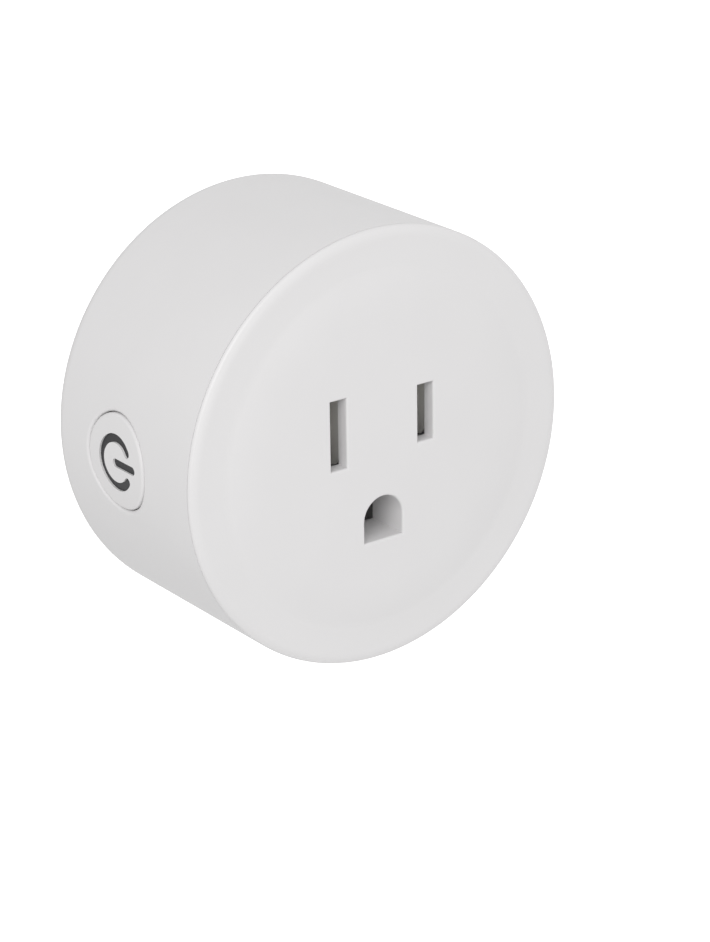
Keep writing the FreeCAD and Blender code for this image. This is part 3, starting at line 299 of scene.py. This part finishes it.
def on_circle(x, y, z, radius, step, steps):
    """Point number step of steps on a circle about the line through (x, z) along Y."""
    angle = 2 * math.pi * step / steps
    return (x + radius * math.cos(angle), y, z + radius * math.sin(angle))


def wound_coil(name, node, wire, bore, slot):
    """Coil of round wire about Y in the space of a plain node: one groove per turn, as a helix."""
    low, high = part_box(node)
    centre = (low + high) / 2
    radius = (high.x - low.x) / 2
    turns = round((high.y - low.y) / wire)
    rows = turns * COIL_ROWS_PER_TURN
    points = []
    for row in range(rows + 1):
        along = row / COIL_ROWS_PER_TURN
        for sector in range(COIL_SECTORS):
            phase = (along - sector / COIL_SECTORS) % 1
            crown = math.sqrt(1 - (2 * phase - 1) ** 2)
            reach = radius - wire / 2 * (1 - crown)
            y = low.y + row / rows * (high.y - low.y)
            points.append(on_circle(centre.x, y, centre.z, reach, sector, COIL_SECTORS))
    for y in (high.y, low.y):
        for sector in range(COIL_SECTORS):
            points.append(on_circle(centre.x, y, centre.z, bore, sector, COIL_SECTORS))
    faces = []
    for row in range(rows + 2):
        faces += ring_faces(row * COIL_SECTORS, (row + 1) * COIL_SECTORS, COIL_SECTORS)
    faces += ring_faces((rows + 2) * COIL_SECTORS, 0, COIL_SECTORS)
    coil = closed_piece(name, points, faces, slot)
    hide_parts(node)


def middle_of(points):
    """Middle, as (x, z), of the box round the points."""
    xs = [point.x for point in points]
    zs = [point.z for point in points]
    return (min(xs) + max(xs)) / 2, (min(zs) + max(zs)) / 2


def lead_places(node):
    """Centres, as (x, z), of a node's leads where they come out of the board's back."""
    leads = []
    for vertex in nodes[node].data.vertices:
        if vertex.co.y < BOARD_BACK_Y + LEAD_PROBE:
            continue
        for lead in leads:
            if abs(lead[0].x - vertex.co.x) + abs(lead[0].z - vertex.co.z) < LEAD_SPACING:
                lead.append(vertex.co)
                break
        else:
            leads.append([vertex.co])
    return [middle_of(lead) for lead in leads]


def blade_tail_place():
    """Middle, as (x, z), of the part of the line blade's tail that comes through the board."""
    return middle_of([v.co for v in nodes["line_blade"].data.vertices if v.co.y < BOARD_BACK_Y])


def solder_joints():
    """Concave cones of solder round every lead on the board's back."""
    points, faces = [], []
    for node in SOLDERED_NODES:
        for x, z in lead_places(node):
            first = len(points)
            for reach, rise in SOLDER_PROFILE:
                for sector in range(SOLDER_SECTORS):
                    points.append(on_circle(x, BOARD_BACK_Y + rise, z, reach, sector, SOLDER_SECTORS))
            levels = len(SOLDER_PROFILE)
            for level in range(levels - 1):
                start = first + level * SOLDER_SECTORS
                faces += ring_faces(start, start + SOLDER_SECTORS, SOLDER_SECTORS)
            faces.append(tuple(range(first, first + SOLDER_SECTORS)))
            top = first + (levels - 1) * SOLDER_SECTORS
            faces.append(tuple(range(top, top + SOLDER_SECTORS)))
    closed_piece("board_solder", points, faces, "contact_metal")


def strip(points, faces, route, width, plane, lift):
    """Adds a flat track along a route of (u, v) points; plane turns (u, v, height) into (x, y, z)."""
    first = len(points)
    for index, here in enumerate(route):
        before = route[max(index - 1, 0)]
        after = route[min(index + 1, len(route) - 1)]
        along_in = Vector((here[0] - before[0], here[1] - before[1]))
        along_out = Vector((after[0] - here[0], after[1] - here[1]))
        along_in = along_in.normalized() if along_in.length else along_out.normalized()
        along_out = along_out.normalized() if along_out.length else along_in
        mitre = (along_in + along_out).normalized()
        side = Vector((-mitre.y, mitre.x)) * (width / 2 / max(mitre.dot(along_in), MITRE_LIMIT))
        for height in (0, lift):
            for sign in (-1, 1):
                points.append(plane(here[0] + sign * side.x, here[1] + sign * side.y, height))
    for index in range(len(route) - 1):
        start = first + 4 * index
        end = start + 4
        faces += [(start, start + 1, end + 1, end), (start + 2, end + 2, end + 3, start + 3),
                  (start, end, end + 2, start + 2), (start + 1, start + 3, end + 3, end + 1)]
    last = first + 4 * (len(route) - 1)
    faces += [(first, first + 2, first + 3, first + 1), (last, last + 1, last + 3, last + 2)]


def board_tracks():
    """Tracks under the solder mask on the board's back: two broad for the load, thin ones for signals."""
    points, faces = [], []

    def on_back(u, v, height):
        return (u, BOARD_BACK_Y + height, v)

    fixed = lead_places("relay_fixed_contact")[0]
    yoke = lead_places("relay_yoke")[0]
    contact = lead_places("line_contact")[0]
    blade = blade_tail_place()
    strip(points, faces, [blade, (blade[0], fixed[1])], LOAD_TRACK, on_back, TRACK_LIFT)
    level = (yoke[1] + blade[1]) / 2
    outside = contact[0] + LOAD_TRACK
    load_route = [yoke, (yoke[0], level + TRACK_ELBOW), (yoke[0] + TRACK_ELBOW, level),
                  (outside - TRACK_ELBOW, level), (outside, level - TRACK_ELBOW),
                  (outside, contact[1] + TRACK_ELBOW / 2), contact]
    strip(points, faces, load_route, LOAD_TRACK / 2, on_back, TRACK_LIFT)
    for x, z in lead_places("radio_pins"):
        drop = SMALL_PART_Z + SMALL_PART_LENGTH / 2
        route = [(x, z), (x, z - SIGNAL_STEP / 2), (x * TRACK_SPREAD, z - SIGNAL_STEP),
                 (x * TRACK_SPREAD, drop)]
        strip(points, faces, route, SIGNAL_TRACK, on_back, TRACK_LIFT)
    for x, z in lead_places("switch_board_pins"):
        route = [(x, z), (x + 2 * SIGNAL_STEP, z), (x + 3 * SIGNAL_STEP, z - SIGNAL_STEP),
                 (x + 4 * SIGNAL_STEP, z - SIGNAL_STEP)]
        strip(points, faces, route, SIGNAL_TRACK, on_back, TRACK_LIFT)
    closed_piece("board_tracks", points, faces, "board_green", smooth=False)


def bevelled_boxes(name, boxes, slot, bevel):
    """Boxes, given as (low, high) corners, with rounded edges, as one piece."""
    shape = bmesh.new()
    for low, high in boxes:
        middle = (Vector(low) + Vector(high)) / 2
        size = Vector(high) - Vector(low)
        place = Matrix.Translation(middle) @ Matrix.Diagonal((*size, 1))
        made = bmesh.ops.create_cube(shape, size=1, matrix=place)
        edges = list(dict.fromkeys(edge for vertex in made["verts"] for edge in vertex.link_edges))
        bmesh.ops.bevel(shape, geom=edges, offset=bevel, segments=2, affect="EDGES", profile=0.5)
    mesh = bpy.data.meshes.new(name)
    shape.to_mesh(mesh)
    shape.free()
    casing_piece(name, mesh, slot)


def small_parts():
    """Surface resistors and capacitors beside the radio's pins, with tinned ends."""
    bodies, ends = [], []
    half = SMALL_PART_WIDTH / 2
    for x, _ in lead_places("radio_pins"):
        centre = x * TRACK_SPREAD
        low_z = SMALL_PART_Z - SMALL_PART_LENGTH / 2
        high_z = SMALL_PART_Z + SMALL_PART_LENGTH / 2
        top = BOARD_BACK_Y + SMALL_PART_HEIGHT
        bodies.append(((centre - half, BOARD_BACK_Y, low_z + SMALL_PART_END),
                       (centre + half, top - SMALL_PART_STEP, high_z - SMALL_PART_END)))
        for start in (low_z, high_z - SMALL_PART_END):
            ends.append(((centre - half, BOARD_BACK_Y, start),
                         (centre + half, top, start + SMALL_PART_END)))
    bevelled_boxes("small_parts", bodies, "chip_black", SMALL_PART_BEVEL)
    bevelled_boxes("small_part_ends", ends, "contact_metal", SMALL_PART_BEVEL)


def antenna_trace():
    """Meandering antenna along the front edge of the radio board, on its lower face."""
    low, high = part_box("radio_board")
    route = []
    x = low.x + ANTENNA_MARGIN
    near, far = low.y + ANTENNA_MARGIN / 2, low.y + ANTENNA_DEPTH
    while x < high.x - ANTENNA_MARGIN:
        route += [(x, far), (x, near), (x + ANTENNA_PITCH / 2, near), (x + ANTENNA_PITCH / 2, far)]
        x += ANTENNA_PITCH
    points, faces = [], []
    strip(points, faces, route, ANTENNA_WIDTH, lambda u, v, height: (u, v, low.z - height), TRACK_LIFT)
    closed_piece("antenna_trace", points, faces, "pin_gold", smooth=False)


def capacitor_top(name, node):
    """Bare end of a capacitor's can, with the cross-shaped score that lets it vent."""
    low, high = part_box(node)
    radius = (high.x - low.x) / 2
    centre = Vector((low.x + radius, 0, low.z + radius))
    top = low.y
    points, faces = [], []
    for quarter in range(4):
        first = len(points)
        start = quarter * math.pi / 2
        middle = start + math.pi / 4
        tip = Vector((math.cos(middle), 0, math.sin(middle))) * VENT_GAP
        outline = [centre + tip]
        for step in range(VENT_STEPS + 1):
            angle = start + math.pi / 2 * step / VENT_STEPS
            reach = Vector((math.cos(angle), 0, math.sin(angle))) * (radius * VENT_REACH - VENT_GAP)
            outline.append(centre + tip + reach)
        count = len(outline)
        for y in (top, top - VENT_LIFT):
            points += [(p.x, y, p.z) for p in outline]
        faces.append(tuple(range(first, first + count)))
        faces.append(tuple(range(first + count, first + 2 * count)))
        faces += ring_faces(first, first + count, count)
    closed_piece(name, points, faces, "shield_tin", smooth=False)


wound_coil("relay_coil_wound", "relay_coil", RELAY_WIRE, RELAY_BORE, "enamel_copper")
wound_coil("inductor_wound", "inductor_winding", INDUCTOR_WIRE, INDUCTOR_BORE, "enamel_copper")
solder_joints()
board_tracks()
small_parts()
antenna_trace()
capacitor_top("bulk_capacitor_top", "bulk_capacitor")
capacitor_top("output_capacitor_top", "output_capacitor")


# ---- floor and light ----

FLOOR_DROP = 0.35
FLOOR_HALF = 4.0
ROOM_LIGHT = {"even": 0.62, "left": 0.08, "right": 0.49, "down": 0.26}
KEY_LIGHT = {"azimuth": -45, "elevation": 30, "distance": 0.45, "size": 0.3, "power": 1.05}


def add_floor():
    """Pale floor well below the plug. It is only seen, and throws no light on the plug."""
    mesh = bpy.data.meshes.new("floor")
    low = cad_low.z - FLOOR_DROP
    corners = [(x * FLOOR_HALF, y * FLOOR_HALF, low) for x, y in ((-1, -1), (1, -1), (1, 1), (-1, 1))]
    mesh.from_pydata(corners, [], [(0, 1, 2, 3)])
    floor = bpy.data.objects.new("floor", mesh)
    mesh.materials.append(finish("floor_paper", (0.9, 0.9, 0.9), 0.8, change=0.01, patch=0.1, glow=1.0))
    bpy.context.scene.collection.objects.link(floor)
    floor.visible_diffuse = False
    floor.visible_glossy = False


def add_room(light):
    """World of a white studio. Its light comes evenly from all round, plus a soft lobe from each named
    side; seen directly it is plain white."""
    world = bpy.data.worlds.new("studio")
    world.use_nodes = True
    tree = world.node_tree
    background = tree.nodes["Background"]
    background.inputs["Color"].default_value = (1, 1, 1, 1)
    coordinates = tree.nodes.new("ShaderNodeTexCoord")
    axes = tree.nodes.new("ShaderNodeSeparateXYZ")
    tree.links.new(coordinates.outputs["Generated"], axes.inputs[0])

    def combine(operation, first, second):
        node = tree.nodes.new("ShaderNodeMath")
        node.operation = operation
        for socket, value in zip(node.inputs, (first, second)):
            if isinstance(value, float):
                socket.default_value = value
            else:
                tree.links.new(value, socket)
        return node.outputs[0]

    total = light["even"]
    for name, axis, sign in (("left", 0, -1.0), ("right", 0, 1.0), ("down", 2, -1.0)):
        lobe = combine("MULTIPLY", axes.outputs[axis], sign * light[name])
        total = combine("ADD", total, combine("MAXIMUM", lobe, 0.0))
    path = tree.nodes.new("ShaderNodeLightPath")
    seen = combine("MAXIMUM", total, path.outputs["Is Camera Ray"])
    tree.links.new(seen, background.inputs["Strength"])
    bpy.context.scene.world = world


def add_soft_light(name, azimuth, elevation, distance, size, power):
    """Square lamp in watts and metres, aimed at the drum's middle from the two angles in degrees."""
    back = direction(math.radians(azimuth), math.radians(elevation))
    data = bpy.data.lights.new(name, "AREA")
    data.size = size
    data.energy = power
    light = bpy.data.objects.new(name, data)
    light.rotation_mode = "QUATERNION"
    light.rotation_quaternion = back.to_track_quat("Z", "Y")
    light.location = Vector((0, FRONT_Y / 2, 0)) + back * distance
    bpy.context.scene.collection.objects.link(light)


add_floor()
add_room(ROOM_LIGHT)
add_soft_light("key", **KEY_LIGHT)
bpy.context.scene.view_settings.view_transform = "Standard"
